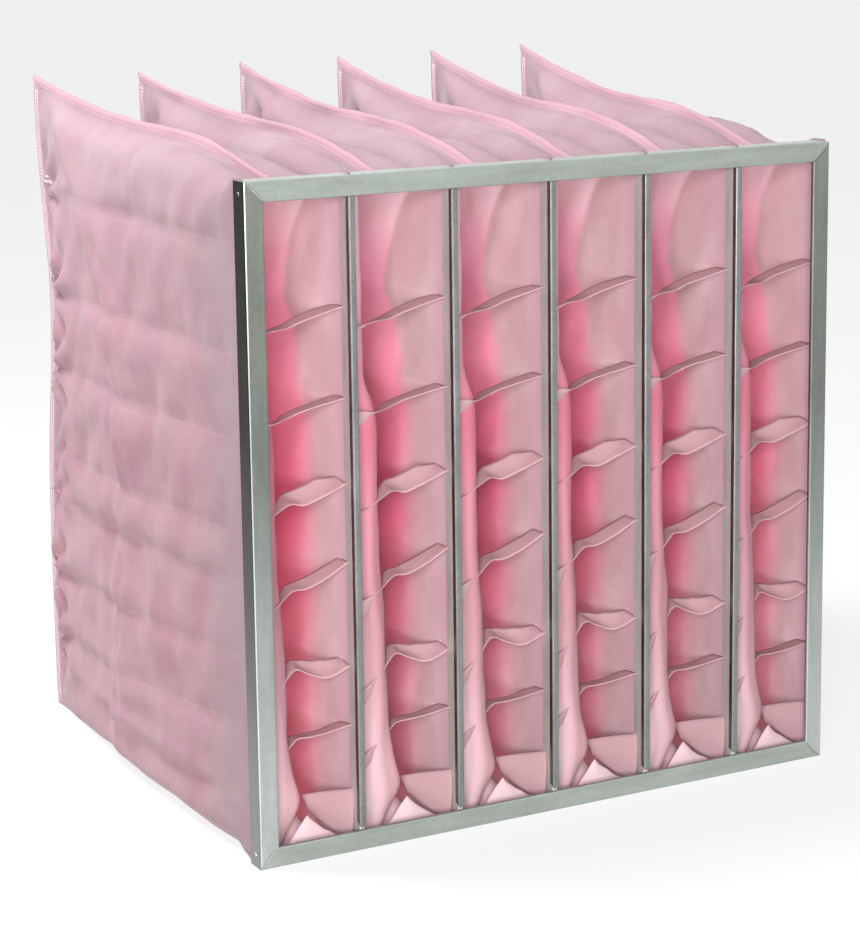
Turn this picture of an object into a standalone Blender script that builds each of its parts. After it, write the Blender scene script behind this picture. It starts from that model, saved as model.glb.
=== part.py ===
"""Bag air filter: six tapered fabric pockets held in a square galvanised steel header.

The header stands on its lower rail. X runs along the header, +Y is the way the air flows,
into the pockets and out through them, and +Z is up. The origin is under the middle of the
lower rail. Lengths are in metres.
"""

import math

import bmesh
import bpy

# Header: four rails of bent sheet, each a front flange, an outer wall and a short rear return
HEADER_WIDTH = 0.592
HEADER_HEIGHT = 0.592
HEADER_DEPTH = 0.022
FLANGE_WIDTH = 0.018
FLANGE_HEM = 0.003
REAR_RETURN = 0.0018
HEADER_SHEET = 0.001
HEADER_BEND = 0.0005
CORNER_BULGE = 0.0022
RIVET_RADIUS = 0.0022
RIVET_HEIGHT = 0.0009
RIVET_INSET = 0.011
LAP_SHARES = (0.8, 3, 2)
FIT_GAP = 0.0003

# Pocket frames: a thin channel round each mouth, open to the rear, that grips the fabric
POCKET_COUNT = 6
FRAME_SHEET = 0.0005
FRAME_FRONT = FLANGE_HEM + FIT_GAP
FRAME_REAR_SETBACK = 0.002
FRAME_BEND = 0.0002

# Joining clips: round-nosed strips pushed over the walls of two neighbouring pocket frames
CLIP_SHEET = 0.0005
CLIP_BEND = 0.001
CLIP_FRONT = 0.0013
CLIP_DEPTH = 0.0055
CLIP_FOOT = 0.0025

# Pockets: two fabric sheets sewn together along the top, the bottom and the rear
FILTER_DEPTH = 0.534
REAR_FLARE = 0.0139
FABRIC = 0.0018
FABRIC_AT_MOUTH = 0.0007
MOUTH_SETBACK = 0.005
OPENING_LENGTH = 0.040
SEAM_GAP = 0.0004
SEAM_HEM = 0.009
REAR_HEM = 0.012
REAR_HOLLOW = 0.026
FLOOR_CLEARANCE = 0.0008
SEAM_DIP = 0.013
RIDGE_SWELL = 0.035
RIDGE_SWELL_LENGTH = 0.095
TIP_RISE = 0.029
TIP_START = 0.30
SHOULDER_ROUND = 0.018
SHOULDER_RISE = 0.012
ROOF_DROP = 0.016
BOTTOM_ROLL = 0.044
BOTTOM_ROUND = 0.014
BOTTOM_BULGE = 0.0025
BOTTOM_RIDGE = 0.036
BOTTOM_RIDGE_LENGTH = 0.26
PUFF = 0.004

# How the pockets are shaped, as shares and powers: how soon they narrow at the bottom and at the
# top, how their top seam swells and rises to the tip, how their roof slopes, where on the way to
# the rear their outlines are drawn, and how high up and how tall the hollow in the rear hem is
TAPER_POWERS = (2, 1.2)
SEAM_POWERS = (1.3, 1.6)
ROOF_POWERS = (1.7, 3)
OUTLINE_PLACES = (0.15, 0.37, 0.59, 0.80)
REAR_HOLLOW_PLACE = (0.66, 0.2)

# Spacers: strips sewn across the inside of each pocket, their right edges higher and further
# forward. Each has its height up the wall, as a share of the wall's height, and how much higher
# its right edge is, as a share of the greatest rise
SPACER_RISE = 0.050
SPACERS = (
    (0.079, 0.70),
    (0.188, 0.90),
    (0.348, 0.94),
    (0.499, 0.52),
    (0.655, 0.36),
    (0.802, 0.52),
)
SPACER_THICKNESS = 0.001
SPACER_SAG = 0.003
SPACER_FRONT_LEFT = 0.040
SPACER_FRONT_RIGHT = 0.030
SPACER_DEPTH = 0.022
SPACER_GAP = 0.0005

FRONT = -HEADER_DEPTH / 2
MOUTH_GRIP = FABRIC_AT_MOUTH + 2 * FIT_GAP
CHANNEL_WIDTH = 2 * FRAME_SHEET + MOUTH_GRIP
FRAME_FIELD = HEADER_WIDTH - 2 * (HEADER_SHEET + FIT_GAP)
FRAME_WIDTH = (FRAME_FIELD - (POCKET_COUNT - 1) * FIT_GAP) / POCKET_COUNT
FRAME_PITCH = FRAME_WIDTH + FIT_GAP
FRAME_LOW = HEADER_SHEET + FIT_GAP
FRAME_HIGH = HEADER_HEIGHT - FRAME_LOW
GRIP_OFFSET = FRAME_SHEET + FIT_GAP
REAR_PITCH = FRAME_PITCH + REAR_FLARE
OPENED = HEADER_DEPTH + OPENING_LENGTH


def mix(a, b, share):
    return a + (b - a) * share


def smooth(value):
    value = min(max(value, 0.0), 1.0)
    return value * value * (3 - 2 * value)


def material(name, colour, roughness, metallic=0.0):
    made = bpy.data.materials.new(name)
    made.use_nodes = True
    shader = made.node_tree.nodes["Principled BSDF"]
    shader.inputs["Base Color"].default_value = (*colour, 1)
    shader.inputs["Roughness"].default_value = roughness
    shader.inputs["Metallic"].default_value = metallic
    made.diffuse_color = (*colour, 1)
    return made


def add_loft(name, rings, collection, finish, closed=False):
    """A solid through rings of as many points each, which run out along one side and back along the other.

    Each end is closed by faces between its two sides, unless the rings close on themselves.
    """
    mesh = bpy.data.meshes.new(name)
    model = bmesh.new()
    rows = [[model.verts.new(point) for point in ring] for ring in rings]
    count = len(rows[0])
    pairs = list(zip(rows, rows[1:]))
    if closed:
        pairs.append((rows[-1], rows[0]))
    for here, there in pairs:
        for i in range(count):
            j = (i + 1) % count
            model.faces.new((here[i], here[j], there[j], there[i]))
    if not closed:
        for row in (rows[0][::-1], rows[-1]):
            for i in range(count // 2 - 1):
                model.faces.new((row[i], row[i + 1], row[count - 2 - i], row[count - 1 - i]))
    origin = rows[0][0].co
    volume = 0.0
    for corners in model.calc_loop_triangles():
        a, b, c = (corner.vert.co - origin for corner in corners)
        volume += a.dot(b.cross(c))
    if volume < 0:
        bmesh.ops.reverse_faces(model, faces=model.faces)
    model.to_mesh(mesh)
    model.free()
    made = bpy.data.objects.new(name, mesh)
    collection.objects.link(made)
    mesh.materials.append(finish)
    mesh.shade_smooth()
    mesh.set_sharp_from_angle(angle=math.radians(35))
    return made


def bent_section(corners, sheet, bend, steps=2):
    """Outline of a sheet bent square to the left at its corners, which lie on its outer face."""
    outer, inner = [], []

    def add(point, inward):
        outer.append(point)
        inner.append((point[0] + inward[0] * sheet, point[1] + inward[1] * sheet))

    def inward_of(a, b):
        length = math.dist(a, b)
        return (-(b[1] - a[1]) / length, (b[0] - a[0]) / length)

    add(corners[0], inward_of(corners[0], corners[1]))
    for a, b, c in zip(corners, corners[1:], corners[2:]):
        before, after = inward_of(a, b), inward_of(b, c)
        if before[0] * after[0] + before[1] * after[1] > 0.5:
            add(b, before)
            continue
        radius = bend + sheet
        centre = [b[k] + (before[k] + after[k]) * radius for k in (0, 1)]
        for step in range(steps + 1):
            angle = math.pi / 2 * step / steps
            inward = [before[k] * math.cos(angle) + after[k] * math.sin(angle) for k in (0, 1)]
            add((centre[0] - inward[0] * radius, centre[1] - inward[1] * radius), inward)
    add(corners[-1], inward_of(corners[-2], corners[-1]))
    return outer + inner[::-1]


def mitre(inward, round_end):
    """How far from the corner a rail ends at this distance inward: a shallow arc to the inner corner."""
    chord = FLANGE_WIDTH * math.sqrt(2)
    radius = (chord * chord / 4 + CORNER_BULGE**2) / (2 * CORNER_BULGE)
    lean = (radius - CORNER_BULGE) / math.sqrt(2)
    near, far = FLANGE_WIDTH / 2 - lean, FLANGE_WIDTH / 2 + lean
    if round_end:
        end = far - math.sqrt(radius**2 - (inward - near) ** 2)
    else:
        end = near + math.sqrt(radius**2 - (inward - far) ** 2)
    return end + FIT_GAP * 0.75


def add_rail(name, length, corner, quarter_turns, collection, finish):
    """One header rail. It is drawn along +X from its round end, and turned about Y into place."""
    flange_steps = [FLANGE_WIDTH * share for share in (0.8, 0.6, 0.4, 0.2)]
    corners = [
        (FLANGE_WIDTH, FLANGE_HEM),
        (FLANGE_WIDTH, 0),
        *((inward, 0) for inward in flange_steps),
        (0, 0),
        (0, HEADER_DEPTH),
        (REAR_RETURN, HEADER_DEPTH),
    ]
    # The path turns clockwise, so it is walked backwards to keep its bends to the left
    section = bent_section([(d, -y) for d, y in corners], HEADER_SHEET, HEADER_BEND)
    starts = [(mitre(d, True), -y, d) for d, y in section]
    ends = [(length - mitre(d, False), -y, d) for d, y in section]
    rail = add_loft(name, [starts, ends], collection, finish)
    rail.location = corner
    rail.rotation_euler = (0, -quarter_turns * math.pi / 2, 0)
    return rail


def add_on_rail(name, model, rail, place, collection):
    """A small solid that rides on a rail, for the union that makes the header."""
    mesh = bpy.data.meshes.new(name)
    model.to_mesh(mesh)
    model.free()
    made = bpy.data.objects.new(name, mesh)
    collection.objects.link(made)
    made.parent = rail
    made.location = place
    return made


def add_rivet(rail, along, collection):
    """A low rivet head on a side rail's outer wall."""
    head = bmesh.new()
    bmesh.ops.create_uvsphere(head, u_segments=12, v_segments=6, radius=RIVET_RADIUS)
    bmesh.ops.scale(head, vec=(1, 1, RIVET_HEIGHT / RIVET_RADIUS), verts=head.verts)
    name = f"rivet_{rail.name}_{along:.3f}"
    return add_on_rail(name, head, rail, (along, HEADER_DEPTH / 2, 0), collection)


def add_corner_lap(rail, collection):
    """Where two rails' walls meet: a strip inside the sheet that closes the mitre in the walls.

    Its thickness is a share of the sheet's, it reaches a few times that past the corner, and it
    stops a few sheets short of the header's front and rear.
    """
    share, reach, stop = LAP_SHARES
    thick = share * HEADER_SHEET
    long = reach * thick
    lap = bmesh.new()
    bmesh.ops.create_cube(lap, size=1)
    size = (thick, HEADER_DEPTH - 2 * stop * HEADER_SHEET, long)
    bmesh.ops.scale(lap, vec=size, verts=lap.verts)
    place = (HEADER_SHEET / 2, HEADER_DEPTH / 2, (HEADER_SHEET - thick + long) / 2)
    return add_on_rail(f"lap_{rail.name}", lap, rail, place, collection)


def add_header(name, collection, pieces, finish):
    """Four rails with mitred flanges, joined at the corners of their walls, and four rivets."""
    half = HEADER_WIDTH / 2
    rails = (
        ("bottom", HEADER_WIDTH, (-half, FRONT, 0)),
        ("right", HEADER_HEIGHT, (half, FRONT, 0)),
        ("top", HEADER_WIDTH, (half, FRONT, HEADER_HEIGHT)),
        ("left", HEADER_HEIGHT, (-half, FRONT, HEADER_HEIGHT)),
    )
    header = None
    for turns, (side, length, corner) in enumerate(rails):
        if header is None:
            rail = header = add_rail(name, length, corner, turns, collection, finish)
        else:
            rail = add_rail(f"rail_{side}", length, corner, turns, pieces, finish)
        add_corner_lap(rail, pieces)
        if turns % 2:
            add_rivet(rail, RIVET_INSET, pieces)
            add_rivet(rail, length - RIVET_INSET, pieces)
    for piece in pieces.objects:
        piece.hide_render = True
        piece.display_type = "WIRE"
    join = header.modifiers.new("rails", "BOOLEAN")
    join.operation = "UNION"
    join.operand_type = "COLLECTION"
    join.collection = pieces
    return header


def mouth_centre(pocket):
    return (pocket - (POCKET_COUNT - 1) / 2) * FRAME_PITCH


def add_pocket_frame(name, pocket, collection, finish):
    """A channel of thin sheet round one pocket's mouth, open to the rear."""
    rear = HEADER_DEPTH - FRAME_REAR_SETBACK
    path = [(0, rear), (0, FRAME_FRONT), (CHANNEL_WIDTH, FRAME_FRONT), (CHANNEL_WIDTH, rear)]
    section = bent_section(path, FRAME_SHEET, FRAME_BEND, steps=1)
    left = mouth_centre(pocket) - FRAME_WIDTH / 2
    right = left + FRAME_WIDTH
    rings = [
        [
            (left + d, FRONT + y, FRAME_LOW + d),
            (right - d, FRONT + y, FRAME_LOW + d),
            (right - d, FRONT + y, FRAME_HIGH - d),
            (left + d, FRONT + y, FRAME_HIGH - d),
        ]
        for d, y in section
    ]
    return add_loft(name, rings, collection, finish, closed=True)


def add_clip(name, joint, collection, finish):
    """A round-nosed strip over two frames' walls, with a round foot and its top under the flange."""
    middle = mouth_centre(joint) + FRAME_PITCH / 2
    half = CHANNEL_WIDTH + FIT_GAP / 2 + FIT_GAP + CLIP_SHEET
    short_leg = FRAME_FRONT - FIT_GAP
    foot = FLANGE_WIDTH + CLIP_FOOT
    head = HEADER_HEIGHT - FLANGE_WIDTH - FIT_GAP
    rings = []
    for rise, width, leg in (
        (0, 0.55, short_leg),
        (0.0008, 0.85, short_leg),
        (0.0024, 1, short_leg),
        (0.0034, 1, CLIP_FRONT + CLIP_DEPTH),
        (head - foot, 1, CLIP_FRONT + CLIP_DEPTH),
    ):
        path = [(-half, leg), (-half, CLIP_FRONT), (half, CLIP_FRONT), (half, leg)]
        section = bent_section(path, CLIP_SHEET, CLIP_BEND, steps=3)
        rings.append([(middle + x * width, FRONT + y, foot + rise) for x, y in section])
    return add_loft(name, rings, collection, finish)


def station(depth):
    """Share of the way from the header's rear to the rear hem, for a depth behind the front face."""
    return min(max((depth - HEADER_DEPTH) / (FILTER_DEPTH - REAR_HEM - HEADER_DEPTH), 0.0), 1.0)


def pocket_centre(pocket, depth):
    """The pockets fan out: their rear seams stand further apart than their mouths."""
    rear = (pocket - (POCKET_COUNT - 1) / 2) * REAR_PITCH
    share = max(depth - HEADER_DEPTH, 0.0) / (FILTER_DEPTH - HEADER_DEPTH)
    return mix(mouth_centre(pocket), rear, share)


def half_width(depth, level, inset):
    """Half the pocket's width at a height level from 0 to 1: it tapers sooner towards the top."""
    mouth = FRAME_WIDTH / 2 - GRIP_OFFSET
    taper = 1 - station(depth) ** mix(*TAPER_POWERS, level)
    return mix(FABRIC + SEAM_GAP / 2, mouth, taper) - inset


def opening_out(depth):
    """0 where the frame still holds the fabric square, 1 where the pocket has its free shape."""
    return smooth((depth - HEADER_DEPTH) / (OPENED - HEADER_DEPTH))


def seam_height(depth):
    """Height of the top seam: a dip behind the header, a swell, and then a rise to the raised tip."""
    mouth = FRAME_HIGH - GRIP_OFFSET - FIT_GAP / 2
    behind = max(depth - 2 * HEADER_DEPTH, 0.0)
    swell_power, tip_power = SEAM_POWERS
    swell = RIDGE_SWELL * (1 - math.exp(-((behind / RIDGE_SWELL_LENGTH) ** swell_power)))
    tip = max(depth - TIP_START, 0.0) / (FILTER_DEPTH - TIP_START)
    return mouth - SEAM_DIP * opening_out(depth) + swell + TIP_RISE * tip**tip_power


def wall_span(depth, inset):
    """Shoulder height, shoulder radius and the heights where the side wall starts and ends."""
    opened, share = opening_out(depth), station(depth)
    drop_power, rise_power = ROOF_POWERS
    drop = ROOF_DROP * math.sin(math.pi * share**drop_power)
    roof = drop - SHOULDER_RISE * (1 - share) ** rise_power
    shoulder = seam_height(depth) - inset - roof * opened
    bend = mix(FIT_GAP, SHOULDER_ROUND, opened)
    floor = mix(FRAME_LOW + GRIP_OFFSET, FLOOR_CLEARANCE, opened) + inset
    low = floor + mix(FIT_GAP, BOTTOM_ROLL, opened)
    return shoulder, min(bend, 0.45 * half_width(depth, 1, inset)), floor, low, shoulder - bend


def level_height(depth, level):
    """Height of a level on the inside of a pocket, halfway between its left and right walls."""
    low, high = wall_span(max(depth, OPENED), FABRIC)[3:]
    return mix(low, high, level)


def fabric_at(depth):
    """The fabric's thickness: the frame presses it thin at the mouth."""
    return FABRIC_AT_MOUTH if depth <= HEADER_DEPTH else FABRIC


def sheet_line(depth, side, inset):
    """One face of a sheet at one depth, from the bottom seam to the top of the hem, as (x, z)."""
    opened, share = opening_out(depth), station(depth)
    shoulder, corner, floor, low, high = wall_span(depth, inset)
    top = seam_height(depth) - inset
    ridge = BOTTOM_RIDGE * opened * (1 - smooth((depth - HEADER_DEPTH) / BOTTOM_RIDGE_LENGTH))
    upper, lower = half_width(depth, 1, inset), half_width(depth, 0, inset)
    foot = min(mix(FIT_GAP, BOTTOM_ROUND, opened), 0.45 * lower)
    bulge = BOTTOM_BULGE * opened * math.sin(math.pi * share)
    puff = PUFF * opened * math.sin(math.pi * share)
    seam = SEAM_GAP / 2 + (0 if inset else fabric_at(depth))
    hem_top = seam_height(depth) + max(SEAM_HEM * opened, FIT_GAP / 2)
    points = [
        (SEAM_GAP / 2, floor + ridge),
        (0.5 * lower, floor + 0.12 * ridge),
        (lower - foot, floor),
        (lower + bulge, mix(floor, low, 0.4)),
    ]
    levels = [0, *[level for level, rise in SPACERS], 1]
    rises = [0, *[rise * SPACER_RISE for level, rise in SPACERS], 0]
    for i, level in enumerate(levels):
        rise = side * rises[i] / 2 * opened
        points.append((half_width(depth, level, inset), mix(low, high, level) + rise))
        if i + 1 < len(levels):
            between = (level + levels[i + 1]) / 2
            rise = side * (rises[i] + rises[i + 1]) / 4 * opened
            width = half_width(depth, between, inset) + puff
            points.append((width, mix(low, high, between) + rise))
    points += [
        (upper - corner, shoulder),
        (mix(seam, upper - corner, 0.5), mix(top, shoulder, 0.7)),
        (seam, top),
        (seam, hem_top),
    ]
    return [(max(x, SEAM_GAP / 2), z) for x, z in points]


def add_sheet(name, pocket, side, collection, finish):
    """One of a pocket's two sheets, on its left (-1) or right (1), sewn to the other at its edges."""
    hem_start = FILTER_DEPTH - REAR_HEM
    middle = [mix(OPENED, hem_start, share) for share in OUTLINE_PLACES]
    height = seam_height(FILTER_DEPTH)
    hollow_level, hollow_spread = REAR_HOLLOW_PLACE
    rings = []
    for depth in (MOUTH_SETBACK, HEADER_DEPTH, OPENED, *middle, hem_start, FILTER_DEPTH):
        outer = sheet_line(depth, side, 0)
        inner = sheet_line(depth, side, fabric_at(depth))
        ring = []
        for x, z in outer + inner[::-1]:
            away = (z / height - hollow_level) / hollow_spread
            hollow = REAR_HOLLOW * math.exp(-(away**2))
            y = FRONT + depth - hollow * station(depth) ** 4
            ring.append((pocket_centre(pocket, depth) + side * x, y, z))
        rings.append(ring)
    return add_loft(name, rings, collection, finish)


def add_spacer(name, pocket, level, rise, collection, finish):
    """A strip sewn from the left sheet to the right one, with a little sag between them."""
    rings = []
    for share in (0, 0.25, 0.5, 0.75, 1):
        ring = []
        front = mix(SPACER_FRONT_LEFT, SPACER_FRONT_RIGHT, share)
        for ahead, lift in ((0, -0.5), (SPACER_DEPTH, -0.5), (SPACER_DEPTH, 0.5), (0, 0.5)):
            depth = front + ahead
            reach = half_width(depth, level, FABRIC) - SPACER_GAP
            height = level_height(depth, level) + (share - 0.5) * rise * SPACER_RISE
            sag = SPACER_SAG * 4 * share * (1 - share)
            x = pocket_centre(pocket, depth) + (2 * share - 1) * reach
            ring.append((x, FRONT + depth, height - sag + lift * SPACER_THICKNESS))
        rings.append(ring)
    return add_loft(name, rings, collection, finish)


def clear_scene():
    for item in list(bpy.data.objects):
        bpy.data.objects.remove(item)


def new_collection(name):
    made = bpy.data.collections.new(name)
    bpy.context.scene.collection.children.link(made)
    return made


def build():
    clear_scene()
    filter_parts = new_collection("bag_air_filter")
    header_pieces = new_collection("header_pieces")
    zinc = material("galvanised_header", (0.42, 0.45, 0.44), 0.42, 0.85)
    frame_zinc = material("galvanised_frame", (0.36, 0.33, 0.31), 0.5, 0.8)
    clip_zinc = material("galvanised_clip", (0.30, 0.36, 0.38), 0.4, 0.85)
    fabric = material("pink_filter_fabric", (0.66, 0.40, 0.46), 0.9)
    strip = material("pink_spacer_strip", (0.80, 0.52, 0.58), 0.9)

    add_header("header", filter_parts, header_pieces, zinc)
    for pocket in range(POCKET_COUNT):
        add_pocket_frame(f"pocket_frame_{pocket + 1}", pocket, filter_parts, frame_zinc)
        add_sheet(f"pocket_{pocket + 1}_left", pocket, -1, filter_parts, fabric)
        add_sheet(f"pocket_{pocket + 1}_right", pocket, 1, filter_parts, fabric)
        for row, (level, rise) in enumerate(SPACERS):
            name = f"spacer_{pocket + 1}_{row + 1}"
            add_spacer(name, pocket, level, rise, filter_parts, strip)
    for joint in range(POCKET_COUNT - 1):
        add_clip(f"joining_clip_{joint + 1}", joint, filter_parts, clip_zinc)


build()
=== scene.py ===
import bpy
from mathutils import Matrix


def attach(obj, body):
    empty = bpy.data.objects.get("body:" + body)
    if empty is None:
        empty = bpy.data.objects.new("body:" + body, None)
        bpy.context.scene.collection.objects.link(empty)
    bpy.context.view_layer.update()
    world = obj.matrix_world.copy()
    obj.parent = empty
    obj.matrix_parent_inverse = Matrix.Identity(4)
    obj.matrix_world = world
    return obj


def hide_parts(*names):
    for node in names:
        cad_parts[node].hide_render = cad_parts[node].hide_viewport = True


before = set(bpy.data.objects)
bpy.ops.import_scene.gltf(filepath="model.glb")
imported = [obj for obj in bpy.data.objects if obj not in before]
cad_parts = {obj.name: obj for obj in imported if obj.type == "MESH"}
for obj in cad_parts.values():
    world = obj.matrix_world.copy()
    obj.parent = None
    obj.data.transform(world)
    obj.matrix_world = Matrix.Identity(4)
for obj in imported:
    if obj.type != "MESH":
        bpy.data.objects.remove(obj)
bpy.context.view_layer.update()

import math

import bpy
import numpy as np
from mathutils import Matrix, Vector, noise

# The picture: the filter stands on a pale studio floor and is seen from the front left, from
# just above its header. The camera has the place, the turn and the long lens that fit the
# header's corners and the pocket tips.
PICTURE_HEIGHT = 936
FOCAL_PIXELS = 2580
OPTICAL_CENTRE_RISE = 100
CAMERA_PLACE = (-1.155, -1.929, 0.820)
CAMERA_YAW, CAMERA_PITCH, CAMERA_ROLL = -28.23, -10.38, 0.77

scene = bpy.context.scene
camera_data = bpy.data.cameras.new("camera")
camera_data.sensor_width = 36
camera_data.lens = FOCAL_PIXELS / PICTURE_HEIGHT * camera_data.sensor_width
camera_data.shift_y = -OPTICAL_CENTRE_RISE / PICTURE_HEIGHT
camera_data.clip_end = 100
camera = bpy.data.objects.new("camera", camera_data)
scene.collection.objects.link(camera)
turn = (
    Matrix.Rotation(math.radians(CAMERA_YAW), 4, "Z")
    @ Matrix.Rotation(math.radians(CAMERA_PITCH), 4, "X")
    @ Matrix.Rotation(math.radians(CAMERA_ROLL), 4, "Y")
    @ Matrix.Rotation(math.pi / 2, 4, "X")
)
camera.matrix_world = Matrix.Translation(CAMERA_PLACE) @ turn
scene.camera = camera
scene.view_settings.view_transform = "Standard"
scene.cycles.diffuse_bounces = 8


def srgb(code):
    """An sRGB hex colour as the linear values that a shader takes."""
    parts = [int(code[i : i + 2], 16) / 255 for i in (1, 3, 5)]
    linear = [c / 12.92 if c <= 0.04045 else ((c + 0.055) / 1.055) ** 2.4 for c in parts]
    return (*linear, 1.0)


def cells(millimetres):
    """The scale of a texture whose cells are this large."""
    return 1000 / millimetres


def add_node(tree, kind, settings=None, **links):
    """Adds a node. Settings are its properties, and links are values or sockets for its inputs by name.

    The setting "stops" gives a colour ramp its places and colours.
    """
    node = tree.nodes.new(kind)
    for name, value in (settings or {}).items():
        if name != "stops":
            setattr(node, name, value)
            continue
        elements = node.color_ramp.elements
        for i, (place, code) in enumerate(value):
            element = elements[i] if i < len(elements) else elements.new(place)
            element.position = place
            element.color = srgb(code)
    for name, value in links.items():
        key = int(name[1:]) if name[0] == "i" and name[1:].isdigit() else name.replace("_", " ")
        if isinstance(value, bpy.types.NodeSocket):
            tree.links.new(value, node.inputs[key])
        else:
            node.inputs[key].default_value = value
    return node


def new_material(name):
    """An empty node material, its tree and its output node."""
    made = bpy.data.materials.new(name)
    made.use_nodes = True
    made.node_tree.nodes.clear()
    return made, made.node_tree, made.node_tree.nodes.new("ShaderNodeOutputMaterial")


# Studio: a pale seamless floor, an even white surround, a soft box high at the left and behind,
# and a broader one at the front left. The floor shows as white, with the filter's own shadow.
FLOOR_WHITENESS = 0.8
FLOOR_SIZE = 80
AMBIENT = 0.34


def shown_white(tree, shader, share):
    """The shader, washed towards white where the camera or a reflection sees it directly."""
    path = add_node(tree, "ShaderNodeLightPath")
    seen = add_node(tree, "ShaderNodeMath", {"operation": "ADD"},
                    i0=path.outputs["Is Camera Ray"], i1=path.outputs["Is Glossy Ray"])
    seen = add_node(tree, "ShaderNodeMath", {"operation": "ADD", "use_clamp": True},
                    i0=seen.outputs[0], i1=path.outputs["Is Transmission Ray"])
    amount = add_node(tree, "ShaderNodeMath", {"operation": "MULTIPLY"}, i0=seen.outputs[0], i1=share)
    white = add_node(tree, "ShaderNodeEmission", Color=(1, 1, 1, 1), Strength=1.0)
    return add_node(tree, "ShaderNodeMixShader", i0=amount.outputs[0], i1=shader, i2=white.outputs[0])


floor_paper, tree, out = new_material("white_paper_floor")
paper = add_node(tree, "ShaderNodeBsdfPrincipled", Base_Color=srgb("#E8E8E6"), Roughness=0.9)
tree.links.new(shown_white(tree, paper.outputs[0], FLOOR_WHITENESS).outputs[0], out.inputs[0])
bpy.ops.mesh.primitive_plane_add(size=FLOOR_SIZE)
floor = bpy.context.object
floor.name = "studio_floor"
floor.data.materials.append(floor_paper)

world = bpy.data.worlds.new("studio")
scene.world = world
world.use_nodes = True
tree = world.node_tree
tree.nodes.clear()
path = add_node(tree, "ShaderNodeLightPath")
seen = add_node(tree, "ShaderNodeMath", {"operation": "MAXIMUM"},
                i0=path.outputs["Is Camera Ray"], i1=path.outputs["Is Transmission Ray"])
seen = add_node(tree, "ShaderNodeMath", {"operation": "MAXIMUM"},
                i0=seen.outputs[0], i1=path.outputs["Is Glossy Ray"])
ambient = add_node(tree, "ShaderNodeBackground", Color=srgb("#F2F4F7"), Strength=AMBIENT)
backdrop = add_node(tree, "ShaderNodeBackground", Color=(1, 1, 1, 1), Strength=1.0)
sky = add_node(tree, "ShaderNodeMixShader", i0=seen.outputs[0], i1=ambient.outputs[0], i2=backdrop.outputs[0])
tree.links.new(sky.outputs[0], tree.nodes.new("ShaderNodeOutputWorld").inputs[0])


def soft_box(name, place, aim, size, power):
    """A square area light that faces its aim."""
    light = bpy.data.lights.new(name, "AREA")
    light.size = size
    light.energy = power
    lamp = bpy.data.objects.new(name, light)
    scene.collection.objects.link(lamp)
    lamp.location = place
    lamp.rotation_euler = (Vector(aim) - Vector(place)).to_track_quat("-Z", "Y").to_euler()


soft_box("soft_box_above", (-0.95, 0.75, 2.45), (0, 0.25, 0.4), 0.7, 96)
soft_box("soft_box_front", (-1.9, -2.9, 1.0), (0, 0.1, 0.3), 1.3, 190)


# Header: four rails of galvanised sheet, roll-formed with a flange, a wall and a short return,
# mitred at the corners and riveted. The zinc is a satin grey with fine spangle and faint rolling
# streaks. Painted light gives the side rails tones by height, lightest at the bottom, and painted
# shade makes the outer side walls darkest at the top.
HEADER_SIZE = 0.592
HEADER_DEPTH = 0.022
FRONT = -HEADER_DEPTH / 2
LEVEL_RAIL_TONE = "#AEB4AF"
WALL_FACING = 0.75
SKIN = 0.0004
# Painted light: the side rails' tones by height, lightest at the bottom.
RAIL_PAINTED_LIGHT = ((0.0, "#BFC3C3"), (0.15, "#B9BDBC"), (0.39, "#9DA19E"), (0.61, "#80837F"), (0.9, "#8B8E87"),
              (1.0, "#90938C"))
# Painted shade: the outer side walls' tones by height, darkest at the top.
WALL_PAINTED_SHADE = ((0.0, "#8A8A8D"), (0.14, "#858487"), (0.4, "#565554"), (0.65, "#252324"), (1.0, "#0E0E0F"))


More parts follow.
